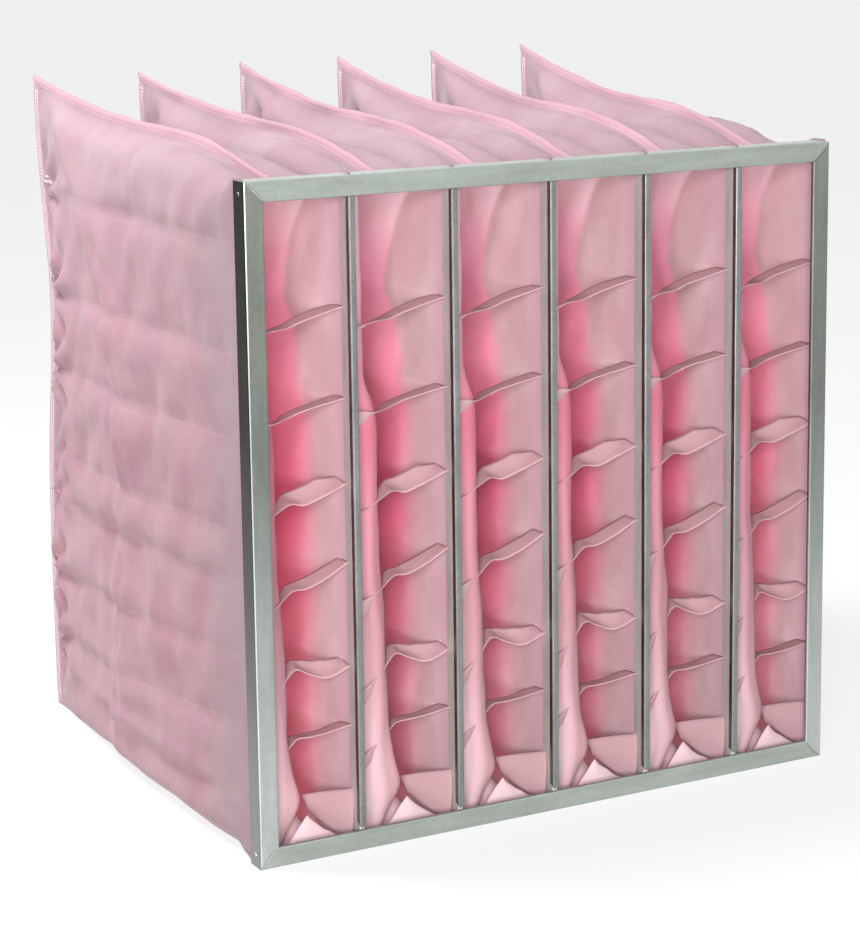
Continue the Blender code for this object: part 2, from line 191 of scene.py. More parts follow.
def zinc_sheet(name, dark, light, spangle_mm, roughness, metallic, header=False):
    """Galvanised steel: two greys in fine crystals, drawn-out streaks and a fine grain."""
    made, tree, out = new_material(name)
    at = add_node(tree, "ShaderNodeTexCoord").outputs["Object"]
    crystals = add_node(tree, "ShaderNodeTexVoronoi", {"feature": "F1"}, Vector=at, Scale=cells(spangle_mm))
    grain = add_node(tree, "ShaderNodeTexNoise", Vector=at, Scale=cells(1.2), Detail=2.0)
    upright = add_node(tree, "ShaderNodeMapping", Vector=at, Scale=(1, 1, 0.12))
    streaks = add_node(tree, "ShaderNodeTexNoise", Vector=upright.outputs[0], Scale=cells(9), Detail=3.0)
    cloud = add_node(tree, "ShaderNodeTexNoise", Vector=at, Scale=cells(90), Detail=2.0)
    streak = streaks.outputs[0]
    if header:
        across = add_node(tree, "ShaderNodeMapping", Vector=at, Scale=(0.12, 1, 1))
        other = add_node(tree, "ShaderNodeTexNoise", Vector=across.outputs[0], Scale=cells(9), Detail=3.0)
        xyz = add_node(tree, "ShaderNodeSeparateXYZ", Vector=at)
        out_x = add_node(tree, "ShaderNodeMath", {"operation": "ABSOLUTE"}, i0=xyz.outputs["X"])
        up = add_node(tree, "ShaderNodeMath", {"operation": "SUBTRACT"},
                      i0=xyz.outputs["Z"], i1=HEADER_SIZE / 2)
        out_z = add_node(tree, "ShaderNodeMath", {"operation": "ABSOLUTE"}, i0=up.outputs[0])
        side = add_node(tree, "ShaderNodeMath", {"operation": "GREATER_THAN"},
                        i0=out_x.outputs[0], i1=out_z.outputs[0])
        both = add_node(tree, "ShaderNodeMix", {"data_type": "FLOAT"}, i0=side.outputs[0],
                        i2=other.outputs[0], i3=streak)
        streak = both.outputs[0]
    crystal_grey = add_node(tree, "ShaderNodeSeparateColor", Color=crystals.outputs["Color"])
    sum_a = add_node(tree, "ShaderNodeMath", {"operation": "MULTIPLY_ADD"},
                     i0=crystal_grey.outputs[0], i1=0.22, i2=streak)
    sum_b = add_node(tree, "ShaderNodeMath", {"operation": "MULTIPLY_ADD"},
                     i0=grain.outputs[0], i1=0.35, i2=sum_a.outputs[0])
    sum_c = add_node(tree, "ShaderNodeMath", {"operation": "MULTIPLY_ADD"},
                     i0=cloud.outputs[0], i1=0.5, i2=sum_b.outputs[0])
    tone = add_node(tree, "ShaderNodeMapRange", Value=sum_c.outputs[0], From_Min=0.65, From_Max=1.35)
    colour = add_node(tree, "ShaderNodeMix", {"data_type": "RGBA"},
                      Factor=tone.outputs[0], i6=srgb(dark), i7=srgb(light)).outputs[2]
    # Painted light and shade: the side rails take tones by height, and the outer side walls are painted
    # darker towards the top.
    if header:
        high = add_node(tree, "ShaderNodeMath", {"operation": "DIVIDE"},
                        i0=xyz.outputs["Z"], i1=HEADER_SIZE)
        along = add_node(tree, "ShaderNodeValToRGB", {"stops": RAIL_PAINTED_LIGHT}, i0=high.outputs[0])
        lit = add_node(tree, "ShaderNodeMix", {"data_type": "RGBA"}, Factor=side.outputs[0],
                       i6=srgb(LEVEL_RAIL_TONE), i7=along.outputs[0])
        colour = add_node(tree, "ShaderNodeMix", {"data_type": "RGBA", "blend_type": "OVERLAY"},
                          Factor=0.4, i6=lit.outputs[2], i7=colour).outputs[2]
        facing = add_node(tree, "ShaderNodeSeparateXYZ",
                          Vector=add_node(tree, "ShaderNodeTexCoord").outputs["Normal"])
        sideways = add_node(tree, "ShaderNodeMath", {"operation": "ABSOLUTE"}, i0=facing.outputs["X"])
        on_wall = add_node(tree, "ShaderNodeMath", {"operation": "GREATER_THAN"},
                           i0=sideways.outputs[0], i1=WALL_FACING)
        outermost = add_node(tree, "ShaderNodeMath", {"operation": "GREATER_THAN"},
                             i0=out_x.outputs[0], i1=HEADER_SIZE / 2 - SKIN)
        wall = add_node(tree, "ShaderNodeMath", {"operation": "MULTIPLY"},
                        i0=on_wall.outputs[0], i1=outermost.outputs[0])
        # Painted shade on the outer side walls, darker towards the top.
        painted_wall_shade = add_node(tree, "ShaderNodeValToRGB", {"stops": WALL_PAINTED_SHADE}, i0=high.outputs[0])
        colour = add_node(tree, "ShaderNodeMix", {"data_type": "RGBA"}, Factor=wall.outputs[0],
                          i6=colour, i7=painted_wall_shade.outputs[0]).outputs[2]
    rough = add_node(tree, "ShaderNodeMapRange", Value=sum_b.outputs[0], From_Min=0.4, From_Max=1.1,
                     To_Min=roughness - 0.06, To_Max=roughness + 0.08)
    bump = add_node(tree, "ShaderNodeBump", Strength=0.25, Distance=0.00006, Height=sum_b.outputs[0])
    metal = add_node(tree, "ShaderNodeBsdfPrincipled", Base_Color=colour, Metallic=metallic,
                     Roughness=rough.outputs[0], Normal=bump.outputs[0])
    tree.links.new(metal.outputs[0], out.inputs[0])
    return made


def wear(node, material):
    """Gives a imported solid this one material."""
    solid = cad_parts[node]
    solid.data.materials.clear()
    solid.data.materials.append(material)


wear("header", zinc_sheet("galvanised_rails", "#868D88", "#B6BDB9", 2.6, 0.42, 1.0, header=True))


# Pocket frames and joining clips: thin galvanised channel that grips each mouth, and bright
# round-nosed strips pushed over each pair of frames. The channel is dull from handling, and the
# strips keep their mill finish.
POCKETS = 6
frame_zinc = zinc_sheet("galvanised_channel", "#A3A19D", "#BFBDB8", 2.2, 0.5, 0.45)
clip_zinc = zinc_sheet("galvanised_strip", "#777C7C", "#979C9B", 2.2, 0.36, 1.0)
for number in range(1, POCKETS + 1):
    wear(f"pocket_frame_{number}", frame_zinc)
for number in range(1, POCKETS):
    wear(f"joining_clip_{number}", clip_zinc)


# Pockets: two sheets of thick pink nonwoven, sewn together along the top, the bottom and the
# rear, with the mouth gripped in its frame. Rows of stitching hold the spacers inside and
# quilt the walls, and tension from the raised tip folds each wall along a slanting crease.
FILTER_DEPTH = 0.534
FRAME_PITCH, REAR_PITCH = 0.09828, 0.11218
FABRIC, FABRIC_AT_MOUTH = 0.0018, 0.0007
CLOTH_GAP = 0.0002
MOUTH_SETBACK = 0.005
MOUTH_HALF, MOUTH_LOW, MOUTH_HIGH = 0.04819, 0.0021, 0.58975
MOUTH_DROP = 0.013
SEAM_HEM, REAR_HEM = 0.009, 0.012
HEM_HALF, HEM_WAVE, HEM_LEAN = 0.0013, 0.0012, 0.004
LEAST_HEIGHT, LEAST_HEM = 0.0006, 0.00015
OPENED = 0.062
ROOF_SWELL, SWELL_LENGTH = 0.035, 0.095
ROOF_FALL, ROOF_DIP = 0.016, 0.012
SEWN_FLAT, FLOOR = 0.0003, 0.0008
LOW_BEND, HIGH_BEND, FOOT_BEND = 0.044, 0.018, 0.014
BOTTOM_RIDGE, RIDGE_LENGTH = 0.036, 0.26
LOW_BULGE, CELL_BULGE = 0.0025, 0.004
REAR_HOLLOW, HOLLOW_LEVEL, HOLLOW_SPREAD = 0.026, 0.66, 0.2
TIP_START, TIP_RISE = 0.30, 0.029
TIP_LIFTS = (0.0, -0.002, 0.003, 0.004, 0.007, 0.009)
SPACERS = ((0.079, 0.035), (0.188, 0.045), (0.348, 0.047), (0.499, 0.026), (0.655, 0.018), (0.802, 0.026))
QUILT_LEFT = (0.058, 0.121, 0.182, 0.247, 0.290, 0.370, 0.443, 0.537)
QUILT_RIGHT = (0.108, 0.168, 0.252, 0.3205, 0.398, 0.479)
WALL_POINTS, FIN_POINTS, DEPTH_POINTS = 110, 3, 96
HEM_START = FILTER_DEPTH - REAR_HEM
RING_DEPTHS = np.array([
    MOUTH_SETBACK, 0.014,
    *np.linspace(HEADER_DEPTH, HEM_START, DEPTH_POINTS),
    HEM_START + 0.003, HEM_START + 0.007, FILTER_DEPTH,
])
REAR_RINGS = 4


def mix(a, b, share):
    return a + (b - a) * share


def smooth(value):
    value = np.clip(value, 0.0, 1.0)
    return value * value * (3 - 2 * value)


def bell(away, width):
    """1 at the middle of a fold and 0 well away from it."""
    return np.exp(-((away / width) ** 2))


def station(depth):
    """0 at the back of the header and 1 at the rear hem."""
    return np.clip((depth - HEADER_DEPTH) / (HEM_START - HEADER_DEPTH), 0, 1)


def pocket_centre(pocket, depth):
    share = np.maximum(depth - HEADER_DEPTH, 0.0) / (FILTER_DEPTH - HEADER_DEPTH)
    return (pocket - (POCKETS - 1) / 2) * mix(FRAME_PITCH, REAR_PITCH, share)


def half_width(depth, level):
    """Half a pocket's width: the taper is straighter at the bottom (level 0) than at the top (1)."""
    return mix(FABRIC, MOUTH_HALF, 1 - station(depth) ** (2 - 0.8 * level))


def opening_out(depth):
    """0 in the frame, where the sheets lie flat, and 1 where the pocket has its full section."""
    return smooth((depth - HEADER_DEPTH) / (OPENED - HEADER_DEPTH))


def seam_height(depth, pocket=0):
    behind = np.maximum(depth - 2 * HEADER_DEPTH, 0.0)
    swell = ROOF_SWELL * (1 - np.exp(-((behind / SWELL_LENGTH) ** 1.3)))
    tip = np.maximum(depth - TIP_START, 0.0) / (FILTER_DEPTH - TIP_START)
    return MOUTH_HIGH - MOUTH_DROP * opening_out(depth) + swell + (TIP_RISE + TIP_LIFTS[pocket]) * tip**1.6


def through(points, count):
    """A smooth line of this many points, evenly spread, through the given ones."""
    points = np.asarray(points, float)
    ends = np.vstack([2 * points[0] - points[1], points, 2 * points[-1] - points[-2]])
    fine = []
    steps = np.linspace(0, 1, 12, endpoint=False)[:, None]
    for a, b, c, d in zip(ends, ends[1:], ends[2:], ends[3:]):
        fine.append(0.5 * (2 * b + (c - a) * steps + (2 * a - 5 * b + 4 * c - d) * steps**2
                           + (3 * b - a - 3 * c + d) * steps**3))
    fine = np.vstack([*fine, points[-1:]])
    along = np.concatenate([[0], np.cumsum(np.linalg.norm(np.diff(fine, axis=0), axis=1))])
    want = np.linspace(0, along[-1], count)
    return np.stack([np.interp(want, along, fine[:, k]) for k in range(fine.shape[1])], axis=1)


def side_line(depth, sign, pocket):
    """Half a pocket's outline at one depth, from its bottom seam to its top seam, as (reach, height)."""
    opened, share = opening_out(depth), station(depth)
    top = seam_height(depth, pocket)
    roof = ROOF_FALL * math.sin(math.pi * share**1.7) - ROOF_DIP * (1 - share) ** 3
    shoulder = top - roof * opened
    floor = mix(MOUTH_LOW, FLOOR, opened)
    low = floor + mix(SEWN_FLAT, LOW_BEND, opened)
    bend = mix(SEWN_FLAT, HIGH_BEND, opened)
    upper, lower = half_width(depth, 1), half_width(depth, 0)
    corner = min(bend, 0.45 * upper)
    foot = min(mix(SEWN_FLAT, FOOT_BEND, opened), 0.45 * lower)
    ridge = BOTTOM_RIDGE * opened * (1 - smooth((depth - HEADER_DEPTH) / RIDGE_LENGTH))
    swollen = opened * math.sin(math.pi * share)
    seam = min(FABRIC, 0.5 * upper)
    high = shoulder - bend
    points = [
        (seam, floor + ridge),
        (0.5 * lower, floor + 0.12 * ridge),
        (lower - foot, floor),
        (lower + LOW_BULGE * swollen, mix(floor, low, 0.4)),
    ]
    levels = [0, *[level for level, rise in SPACERS], 1]
    rises = [0, *[rise for level, rise in SPACERS], 0]
    for i, level in enumerate(levels):
        lift = sign * rises[i] / 2 * opened
        points.append((half_width(depth, level), mix(low, high, level) + lift))
        if i + 1 < len(levels):
            between = (level + levels[i + 1]) / 2
            lift = sign * (rises[i] + rises[i + 1]) / 4 * opened
            bulged = half_width(depth, between) + CELL_BULGE * swollen
            points.append((bulged, mix(low, high, between) + lift))
    points += [
        (upper - corner, shoulder),
        (mix(seam, upper - corner, 0.5), mix(top, shoulder, 0.7)),
        (seam, top),
    ]
    return through(points, WALL_POINTS)


def ripples(seed, x, y):
    """Smooth noise from -1 to 1 over arrays that are already scaled to its grain."""
    x, y = np.broadcast_arrays(x, y)
    values = [noise.noise(Vector((a, b, seed))) for a, b in zip(x.ravel(), y.ravel())]
    return np.array(values).reshape(x.shape)


def row_height(start, depth):
    """Height of a stitched row: the lower ones fall towards the rear."""
    return start - 0.065 * max(1 - start / 0.537, 0) ** 1.6 * station(depth)


def crease_depth(height):
    """How deep the slanting crease lies at a height: at the tip it meets the rear seam."""
    up = np.maximum(height - 0.30, 0.0) / 0.35
    return 0.285 + 0.225 * up**2.2 + 0.04 * np.maximum(0.30 - height, 0.0) / 0.30


# Folds of the walls: how high each kind stands, how wide it is, and where it starts.
QUILT_LIFT, QUILT_DEPTH, QUILT_WIDTH = 0.0026, 0.0064, 0.010
ROW_WANDER = 0.004
FAN_HEIGHT, FAN_REACH, FAN_START = 0.0072, 0.048, 0.008
CREASE_EDGE, EDGE_WIDTH = 0.0050, 0.006
CREASE_RIDGE, RIDGE_WIDTH = 0.0095, 0.040
CREASE_VALLEY, VALLEY_WIDTH, VALLEY_BEHIND = 0.0095, 0.018, 0.028
SECOND_CREASE, SECOND_WIDTH, SECOND_AHEAD, SECOND_WANDER = 0.0016, 0.008, 0.024, 0.008
TUCK_HEIGHT, TUCK_REACH, TUCK_START = 0.0032, 0.034, 0.004
PULL_HEIGHT, PULL_REACH, PULL_START = 0.0018, 0.020, 0.003
TIP_RAY, TIP_RAYS = 0.0022, ((1.25, 0.009), (0.72, 0.011))
SLOW_WAVES, LOOSE_FOLDS, WRINKLES = 0.0030, 0.0048, 0.0010


def quilting(pocket, sign, seed, depth, height, to_rear):
    """The valleys along the stitched rows, and the fans of folds where the rows meet the rear seam."""
    quilt, fans = QUILT_LIFT, 0.0
    for number, start in enumerate(QUILT_LEFT if sign < 0 else QUILT_RIGHT):
        away = height - row_height(start, depth)
        wander = ROW_WANDER * ripples(seed + number, depth / 0.09, 0.5)
        quilt = quilt - QUILT_DEPTH * np.exp(-np.abs((away - wander) / QUILT_WIDTH) ** 1.1)
        at_seam = height - row_height(start, FILTER_DEPTH)
        reach = np.hypot(at_seam, to_rear)
        turn = np.arctan2(at_seam, to_rear + 0.004)
        fan = np.cos(turn * 9 + number * 1.7 + pocket) * np.exp(-reach / FAN_REACH)
        fans = fans + FAN_HEIGHT * (fan * (1 - np.exp(-reach / FAN_START)))
    return quilt, fans


def creases(seed, depth, height):
    """The slanting crease that the raised tip pulls into the wall, and a fainter one ahead of it."""
    behind = depth - crease_depth(height)
    strong = 0.55 + 0.45 * smooth((height - 0.22) / 0.3)
    fold = CREASE_EDGE * np.exp(-np.abs(behind) / EDGE_WIDTH) + CREASE_RIDGE * bell(behind, RIDGE_WIDTH)
    fold = fold - CREASE_VALLEY * bell(behind - VALLEY_BEHIND, VALLEY_WIDTH)
    ahead = behind + SECOND_AHEAD + SECOND_WANDER * ripples(seed, height / 0.08, 1.5)
    second = SECOND_CREASE * bell(ahead, SECOND_WIDTH) * (1 - smooth((height - 0.40) / 0.1))
    return strong * fold + second


def seam_tucks(seed, height, to_rear):
    """Small puckers where the rear seam gathers the cloth."""
    tuck = ripples(seed + 0.4, height / 0.015 + to_rear / 0.05, to_rear / 0.08)
    tuck = tuck + 0.5 * ripples(seed + 0.6, height / 0.008 - to_rear / 0.04, to_rear / 0.05)
    return TUCK_HEIGHT * tuck * np.exp(-to_rear / TUCK_REACH) * (1 - np.exp(-to_rear / TUCK_START))


def seam_pulls(seed, depth, below):
    """Short folds that hang from the top seam."""
    pull = PULL_HEIGHT * ripples(seed + 0.8, depth / 0.010, below / 0.08)
    return pull * np.exp(-below / PULL_REACH) * (1 - np.exp(-below / PULL_START))


def tip_dents(depth, height):
    """Two long dents that spread from the raised tip."""
    dents = 0.0
    for slope, width in TIP_RAYS:
        off = (seam_height(FILTER_DEPTH) - height) - slope * (FILTER_DEPTH - depth)
        fade = smooth((FILTER_DEPTH - depth) / 0.1) * smooth((depth - 0.18) / 0.15)
        dents = dents - TIP_RAY * bell(off, width) * fade
    return dents


def relief(pocket, sign, depth, height, under):
    """How far the wall stands out from its smooth form, in metres."""
    share, opened = station(depth), opening_out(depth)
    body = opened * np.sin(math.pi * np.minimum(share, 0.999)) ** 0.5
    seed = 10 * pocket + 3 * sign
    to_rear = np.maximum(HEM_START - depth, 0.0)
    quilt, fans = quilting(pocket, sign, seed, depth, height, to_rear)
    slow = ripples(seed + 1.2, depth / 0.11, height / 0.09)
    folds = ripples(seed + 1.5, depth / 0.045 + height / 0.06, height / 0.075 - depth / 0.15)
    fine = ripples(seed + 1.8, depth / 0.016, height / 0.02)
    loose = SLOW_WAVES * slow + LOOSE_FOLDS * folds + WRINKLES * fine
    creased = creases(seed, depth, height) * smooth(share / 0.3)
    tucks = seam_tucks(seed, height, to_rear)
    pulls = seam_pulls(seed, depth, np.maximum(under, 0.0))
    calm = 0.25 + 0.75 * smooth((height - 0.015) / 0.05)
    on_body = quilt + loose + creased + tip_dents(depth, height)
    return calm * (body * on_body + opened * (tucks + pulls + fans))


def rear_hollow(height, depth):
    """How far the rear seam is drawn forward between its ends."""
    level = height / seam_height(FILTER_DEPTH)
    return REAR_HOLLOW * bell(level - HOLLOW_LEVEL, HOLLOW_SPREAD) * station(depth) ** 4


def sheet_grid(pocket, sign):
    """Outer points of a pocket's left (-1) or right (1) sheet: rings along the depth, columns up it."""
    depth = RING_DEPTHS[:, None]
    lines = np.array([side_line(d, sign, pocket) for d in RING_DEPTHS])
    slope = np.gradient(lines, axis=1)
    slope /= np.maximum(np.linalg.norm(slope, axis=2), 1e-9)[:, :, None]
    top = seam_height(depth, pocket)
    opened = opening_out(depth)
    column = np.arange(WALL_POINTS)
    ease = np.minimum(1, np.minimum(column, column[::-1]) / 4)[None, :]
    ease = ease * (depth < HEM_START) * (opened > 0)
    under = top - lines[:, :, 1] + lines[:, :, 0] * 0.5
    stand = relief(pocket, sign, depth, lines[:, :, 1], under) * ease
    reach = np.maximum(lines[:, :, 0] + slope[:, :, 1] * stand, FABRIC / 2)
    if 0 <= pocket + sign < POCKETS:
        reach = np.minimum(reach, (pocket_centre(1, depth) - pocket_centre(0, depth)) / 2 - CLOTH_GAP)
    height = np.maximum(lines[:, :, 1] - slope[:, :, 0] * stand, LEAST_HEIGHT)
    hem = np.maximum(SEAM_HEM * opened, LEAST_HEM)
    wave = HEM_WAVE * ripples(pocket * 5.1, depth / 0.03, 0.3) * opened
    step = np.arange(1, FIN_POINTS + 1)[None, :] / FIN_POINTS
    fin_height = top + (hem + wave) * step
    reach = np.concatenate([reach, np.full(fin_height.shape, HEM_HALF)], axis=1)
    height = np.concatenate([height, fin_height], axis=1)
    lean = HEM_LEAN * ripples(pocket * 3.3, depth / 0.07, 1.1) * opened
    lean = lean * np.maximum(height - top, 0) / SEAM_HEM
    x = pocket_centre(pocket, depth) + sign * reach + lean
    y = FRONT + depth - rear_hollow(height, depth)
    return np.stack([x, y, height], axis=2)


def inside_of(grid, sign, pocket):
    """The inside of a sheet: its outside moved in by the fabric's thickness."""
    inward = np.cross(np.gradient(grid, axis=1), np.gradient(grid, axis=0)) * sign
    inward /= np.maximum(np.linalg.norm(inward, axis=2), 1e-12)[:, :, None]
    thick = np.interp(RING_DEPTHS, [HEADER_DEPTH, HEADER_DEPTH + 0.02], [FABRIC_AT_MOUTH, FABRIC])
    inside = grid + inward * thick[:, None, None]
    centres = pocket_centre(pocket, RING_DEPTHS)[:, None]
    inside[:, :, 0] = centres + sign * np.maximum((inside[:, :, 0] - centres) * sign, CLOTH_GAP)
    inside[:, :, 1] = grid[:, :, 1]
    last = inside[:, WALL_POINTS - 1, 2]
    inside[:, WALL_POINTS:, 2] = last[:, None] + np.arange(1, FIN_POINTS + 1)[None, :] * 0.00005
    inside[:, WALL_POINTS:, 0] = centres + sign * CLOTH_GAP
    return inside


def add_mesh(name, points, faces, material):
    """A smooth mesh object whose closed faces look outwards."""
    mesh = bpy.data.meshes.new(name)
    mesh.from_pydata([tuple(point) for point in points], [], faces)
    mesh.update()
    mesh.calc_loop_triangles()
    corners = np.array([tri.vertices for tri in mesh.loop_triangles])
    a, b, c = (np.asarray(points)[corners[:, k]] - points[0] for k in range(3))
    if np.einsum("ij,ij->", a, np.cross(b, c)) < 0:
        mesh.flip_normals()
    mesh.shade_smooth()
    mesh.materials.append(material)
    made = bpy.data.objects.new(name, mesh)
    scene.collection.objects.link(made)
    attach(made, "root")
    return made


def give(made, name, values):
    """A number at each point of a mesh, for its material."""
    layer = made.data.attributes.new(name, "FLOAT", "POINT")
    layer.data.foreach_set("value", np.asarray(values, np.float32).ravel())


def sewn_bag(name, pocket, material):
    """One pocket as a closed shell, with its inside marked for the material."""
    grids = {sign: sheet_grid(pocket, sign) for sign in (-1, 1)}
    insides = {sign: inside_of(grids[sign], sign, pocket) for sign in grids}
    outer = np.concatenate([grids[1], grids[-1][:, ::-1]], axis=1)
    inner = np.concatenate([insides[1], insides[-1][:, ::-1]], axis=1)[:-REAR_RINGS]
    rings = np.concatenate([inner[::-1], outer], axis=0)
    count, columns = rings.shape[:2]
    faces = []
    for i in range(count - 1):
        for j in range(columns):
            k = (j + 1) % columns
            faces.append((i * columns + j, i * columns + k, (i + 1) * columns + k, (i + 1) * columns + j))
    for start, flip in ((0, False), ((count - 1) * columns, True)):
        for j in range(columns // 2 - 1):
            quad = (start + j, start + j + 1, start + columns - 2 - j, start + columns - 1 - j)
            faces.append(quad if flip else quad[::-1])
    bag = add_mesh(name, rings.reshape(-1, 3), faces, material)
    within = np.zeros((count, columns))
    within[: len(inner)] = 1
    give(bag, "inside", within)
    depths = np.concatenate([RING_DEPTHS[:-REAR_RINGS][::-1], RING_DEPTHS])
    give(bag, "deep", np.repeat(depths, columns))
    hem = np.zeros((count, columns))
    hem[:, WALL_POINTS : columns - WALL_POINTS] = 1
    hem[-REAR_RINGS + 1 :] = 1
    give(bag, "hem", hem)
    return bag, grids


# Painted glow: light passing through the walls is painted into the inside's colour, saturated low down and
# lightest at the top, past an edge that arches towards the mouth.
GLOW_HEIGHT = 0.59
GLOW_START_LOW, GLOW_START_HIGH, GLOW_ARCH = 0.086, 0.112, 0.062
GLOW_TONES = ((0.0, "#FF9DB0"), (0.18, "#FF98B0"), (0.38, "#FB82A0"), (0.50, "#F06E93"), (0.66, "#FF98B2"),
              (0.80, "#FFABC8"), (0.87, "#FFBED2"), (0.92, "#FFDAE3"), (1.0, "#FFF2F4"))


def filter_fabric():
    """Pink nonwoven: cloudy fibre, a greyish-pink outside with painted shade towards the header, and a
    painted glow of light through the walls, warm and saturated deep inside, with painted shade close to the
    frame.

    Inside, the glow starts at an edge that arches towards the mouth below its top.
    """
    made, tree, out = new_material("pink_nonwoven")
    at = add_node(tree, "ShaderNodeTexCoord").outputs["Object"]
    inside = add_node(tree, "ShaderNodeAttribute", {"attribute_name": "inside"}).outputs["Fac"]
    deep = add_node(tree, "ShaderNodeAttribute", {"attribute_name": "deep"}).outputs["Fac"]
    hem = add_node(tree, "ShaderNodeAttribute", {"attribute_name": "hem"}).outputs["Fac"]
    height = add_node(tree, "ShaderNodeSeparateXYZ", Vector=at).outputs["Z"]
    drawn = add_node(tree, "ShaderNodeMapping", Vector=at, Scale=(1, 1, 0.85))
    cloud = add_node(tree, "ShaderNodeTexNoise", Vector=drawn.outputs[0], Scale=cells(60),
                     Detail=5.0, Roughness=0.62, Distortion=0.6)
    mauve = add_node(tree, "ShaderNodeTexNoise", Vector=drawn.outputs[0], Scale=cells(38),
                     Detail=3.0, Distortion=1.2)
    fibre = add_node(tree, "ShaderNodeTexNoise", Vector=at, Scale=cells(3.5), Detail=4.0, Roughness=0.7)
    tone = add_node(tree, "ShaderNodeMapRange", Value=cloud.outputs[0], From_Min=0.38, From_Max=0.62)
    tint = add_node(tree, "ShaderNodeMapRange", Value=mauve.outputs[0], From_Min=0.50, From_Max=0.70,
                    To_Max=0.6)
    clouds = add_node(tree, "ShaderNodeMix", {"data_type": "RGBA"},
                      Factor=tone.outputs[0], i6=srgb("#997D86"), i7=srgb("#9F8B91"))
    outer = add_node(tree, "ShaderNodeMix", {"data_type": "RGBA"},
                     Factor=tint.outputs[0], i6=clouds.outputs[2], i7=srgb("#9F7F93"))
    # Painted shade: the outside is darkened towards the header.
    painted_shade_by_header = add_node(tree, "ShaderNodeMapRange", Value=deep, From_Min=0.02, From_Max=0.36,
                      To_Min=0.80, To_Max=1.0)
    outer = add_node(tree, "ShaderNodeMix", {"data_type": "RGBA", "blend_type": "MULTIPLY"},
                     Factor=1.0, i6=outer.outputs[2], i7=painted_shade_by_header.outputs[0])
    outer = add_node(tree, "ShaderNodeMix", {"data_type": "RGBA"},
                     Factor=hem, i6=outer.outputs[2], i7=srgb("#BA92A2"))
    # Painted glow: where the inside turns to the glow tones, past an arching edge.
    up = add_node(tree, "ShaderNodeMapRange", {"clamp": True}, Value=height, From_Min=0.48, From_Max=0.585)
    steep = add_node(tree, "ShaderNodeMath", {"operation": "POWER"}, i0=up.outputs[0], i1=3.0)
    start = add_node(tree, "ShaderNodeMapRange", Value=height, From_Min=0.38, From_Max=0.47,
                     To_Min=GLOW_START_LOW, To_Max=GLOW_START_HIGH)
    arch = add_node(tree, "ShaderNodeMath", {"operation": "MULTIPLY_ADD"},
                    i0=steep.outputs[0], i1=-GLOW_ARCH, i2=start.outputs[0])
    past = add_node(tree, "ShaderNodeMath", {"operation": "SUBTRACT"}, i0=deep, i1=arch.outputs[0])
    soft = add_node(tree, "ShaderNodeMapRange", Value=height, From_Min=0.30, From_Max=0.46,
                    To_Min=0.030, To_Max=0.006)
    edge = add_node(tree, "ShaderNodeMath", {"operation": "DIVIDE"}, i0=past.outputs[0], i1=soft.outputs[0])
    glow = add_node(tree, "ShaderNodeMapRange", {"interpolation_type": "SMOOTHSTEP"},
                    Value=edge.outputs[0], From_Min=-1.0, From_Max=1.0)
    high = add_node(tree, "ShaderNodeMath", {"operation": "DIVIDE"}, i0=height, i1=GLOW_HEIGHT)
    warm = add_node(tree, "ShaderNodeValToRGB", {"stops": GLOW_TONES}, i0=high.outputs[0])
    wall_pink_and_frame_shade = add_node(tree, "ShaderNodeMix", {"data_type": "RGBA"},
                     Factor=tone.outputs[0], i6=srgb("#D2A9AF"), i7=srgb("#D6B5B9"))
    # Painted shade: the inside darkens to mauve close to the frame.
    painted_shade_by_frame = add_node(tree, "ShaderNodeMapRange", {"interpolation_type": "SMOOTHSTEP"}, Value=deep,
                    From_Min=0.022, From_Max=0.050, To_Min=0.75, To_Max=0.0)
    wall_pink_and_frame_shade = add_node(tree, "ShaderNodeMix", {"data_type": "RGBA"},
                     Factor=painted_shade_by_frame.outputs[0], i6=wall_pink_and_frame_shade.outputs[2], i7=srgb("#BD95A6"))
    within = add_node(tree, "ShaderNodeMix", {"data_type": "RGBA"},
                      Factor=glow.outputs[0], i6=wall_pink_and_frame_shade.outputs[2], i7=warm.outputs[0])
    colour = add_node(tree, "ShaderNodeMix", {"data_type": "RGBA"},
                      Factor=inside, i6=outer.outputs[2], i7=within.outputs[2])
    speck = add_node(tree, "ShaderNodeMapRange", Value=fibre.outputs[0], From_Min=0.3, From_Max=0.7,
                     To_Min=0.95, To_Max=1.03)
    flecked = add_node(tree, "ShaderNodeMix", {"data_type": "RGBA", "blend_type": "MULTIPLY"},
                       Factor=1.0, i6=colour.outputs[2], i7=speck.outputs[0])
    bump = add_node(tree, "ShaderNodeBump", Strength=0.3, Distance=0.0004, Height=fibre.outputs[0])
    cloth = add_node(tree, "ShaderNodeBsdfPrincipled", Base_Color=flecked.outputs[2], Roughness=0.85,
                     Sheen_Weight=0.15, Sheen_Roughness=0.5, Normal=bump.outputs[0])
    thin = add_node(tree, "ShaderNodeMix", {"data_type": "RGBA"}, Factor=0.45,
                    i6=flecked.outputs[2], i7=srgb("#FFF4F6"))
    through_light = add_node(tree, "ShaderNodeBsdfTranslucent", Color=thin.outputs[2], Normal=bump.outputs[0])
    amount = add_node(tree, "ShaderNodeMapRange", Value=inside, To_Min=0.4, To_Max=0.22)
    both = add_node(tree, "ShaderNodeMixShader", i0=amount.outputs[0], i1=cloth.outputs[0],
                    i2=through_light.outputs[0])
    tree.links.new(both.outputs[0], out.inputs[0])
    return made


pink_nonwoven = filter_fabric()
pocket_walls = []
for pocket in range(POCKETS):
    bag, grids = sewn_bag(f"bag_{pocket + 1}", pocket, pink_nonwoven)
    pocket_walls.append(grids)
    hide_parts(f"pocket_{pocket + 1}_left", f"pocket_{pocket + 1}_right")


